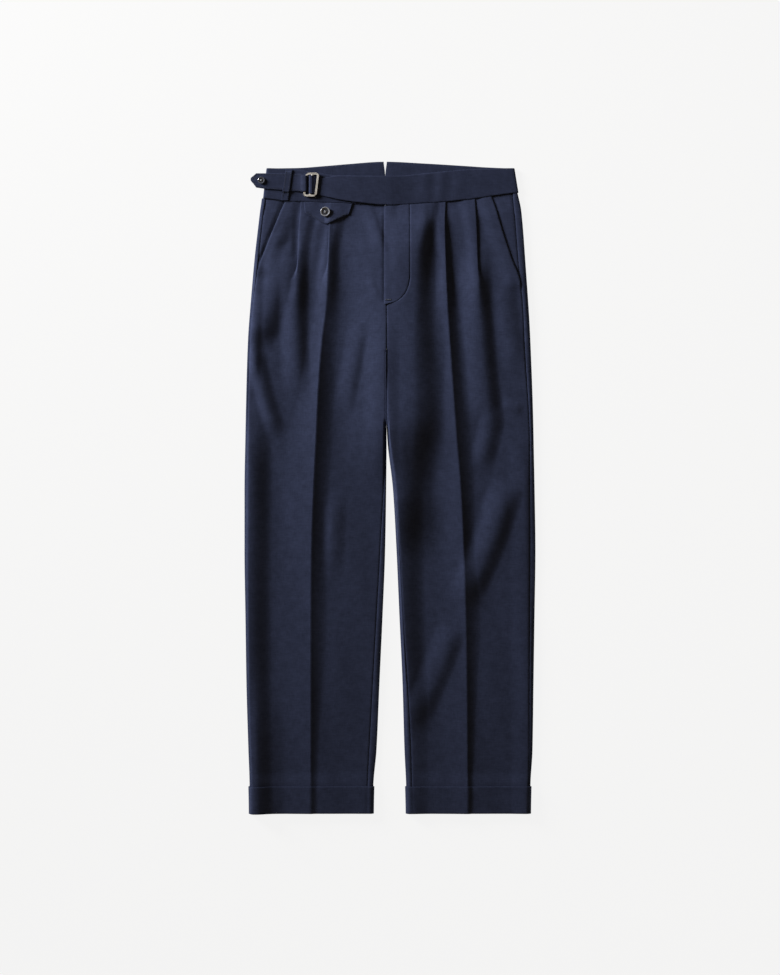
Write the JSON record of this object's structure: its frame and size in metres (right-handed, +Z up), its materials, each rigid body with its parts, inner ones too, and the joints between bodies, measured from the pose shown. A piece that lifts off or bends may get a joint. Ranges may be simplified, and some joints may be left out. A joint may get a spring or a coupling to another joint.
{
  "type": "pleated dress trousers",
  "caption": "Pleated dress trousers laid flat, front side up, with a buckled waist strap, slanted side pockets, a buttoned fob pocket flap, pressed creases and turn-ups.",
  "frame": {"origin": "middle of the garment's underside, on the surface it lies on", "axes": "+Y from the hems to the waistband, +Z up out of the surface, through the front side of the garment, +X to the wearer's left"},
  "size_m": [0.48, 1.075, 0.0159],
  "materials": {
    "suiting": "matt fine worsted suiting",
    "buckle_metal": "soft polished",
    "button_horn": "polished horn"
  },
  "bodies": {
    "root": {"back_left": "suiting", "back_right": "suiting", "front_left": "suiting", "front_right": "suiting", "pocket_facing_left": "suiting", "pocket_facing_right": "suiting", "waistband_left": "suiting", "waistband_right": "suiting", "fly": "suiting", "strap": "suiting", "strap_loop": "suiting", "buckle": "buckle_metal", "strap_button": "button_horn", "fob_flap": "suiting", "fob_button": "button_horn", "cuff_left": "suiting", "cuff_right": "suiting"}
  },
  "joints": []
}
